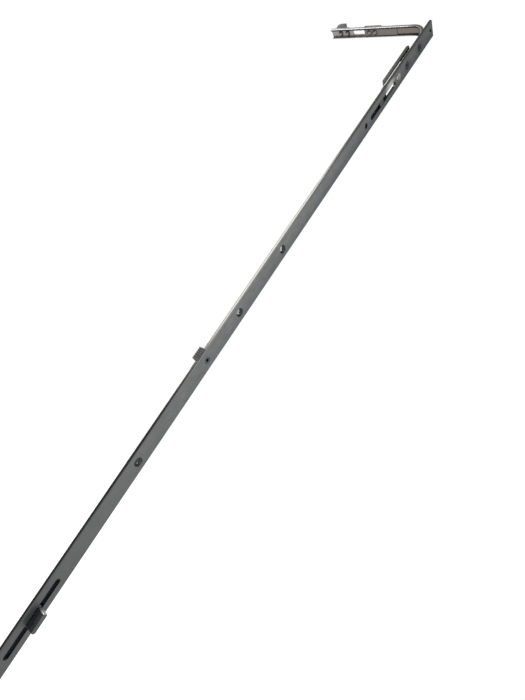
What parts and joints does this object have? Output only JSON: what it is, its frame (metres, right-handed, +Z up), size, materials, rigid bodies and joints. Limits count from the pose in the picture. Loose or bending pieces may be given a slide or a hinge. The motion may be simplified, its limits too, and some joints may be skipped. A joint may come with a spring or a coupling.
{
  "type": "espagnolette lock",
  "caption": "Window espagnolette lock: slotted steel faceplate over a sliding drive rod, gear case for a handle spindle, locking cam, and a corner drive with a slider on its short leg.",
  "frame": {"origin": "on the axis of the handle's square spindle, in the middle of the lock's width", "axes": "+Z up along the faceplate towards the corner drive, +X out of the faceplate's outer face, +Y across its width"},
  "size_m": [0.123, 0.016, 0.8787],
  "materials": {
    "faceplate_zinc": "satin zinc plating, drawn lengthwise",
    "rod_zinc": "satin zinc plating",
    "strip_steel": "satin zinc plating",
    "spring_steel": "tempered blue-brown spring steel",
    "rivet_steel": "zinc-plated steel",
    "block_steel": "zinc-plated steel",
    "cam_dark": "dark passivated die casting",
    "case_zamak": "zinc die casting, matte",
    "follower_steel": "sintered steel",
    "clip_plastic": "dark grey moulded nylon",
    "shoe_plastic": "dark acetal"
  },
  "bodies": {
    "root": {"faceplate": "faceplate_zinc", "corner_strip": "strip_steel", "strip_rivets": "rivet_steel", "corner_leaf": "spring_steel", "end_cam": "cam_dark", "end_cam_rivets": "rivet_steel", "guide_clip": "clip_plastic", "clip_rivet": "rivet_steel", "case_left": "case_zamak", "case_right": "case_zamak", "case_rivets": "rivet_steel", "case_posts": "rivet_steel", "detent_spring": "spring_steel"},
    "rod": {"drive_rod": "rod_zinc", "guide_block": "block_steel", "locking_cam": "cam_dark", "coupling_arm": "rod_zinc", "spacer_block": "block_steel", "spacer_rivets": "rivet_steel", "arm_rivets": "rivet_steel", "lower_leaf": "spring_steel"},
    "slider": {"slider_plate": "cam_dark", "slot_shoe": "shoe_plastic", "slider_rivets": "rivet_steel", "upper_leaf": "spring_steel"},
    "follower": {"follower": "follower_steel"}
  },
  "joints": [
    {"name": "rod_slide", "type": "slide", "parent": "root", "child": "rod", "axis": [0, 0, 1], "range_m": [-0.018, 0.018]},
    {"name": "corner_slide", "type": "slide", "parent": "root", "child": "slider", "axis": [-1, 0, 0], "range_m": [-0.018, 0.018]},
    {"name": "follower_turn", "type": "hinge", "parent": "root", "child": "follower", "pos_m": [0, 0, 0], "axis": [0, -1, 0], "range_deg": [-90, 90]}
  ],
  "couplings": [
    {"joint": "corner_slide", "follows": "rod_slide", "ratio": 1},
    {"joint": "follower_turn", "follows": "rod_slide", "rad_per_m": 87.26}
  ]
}
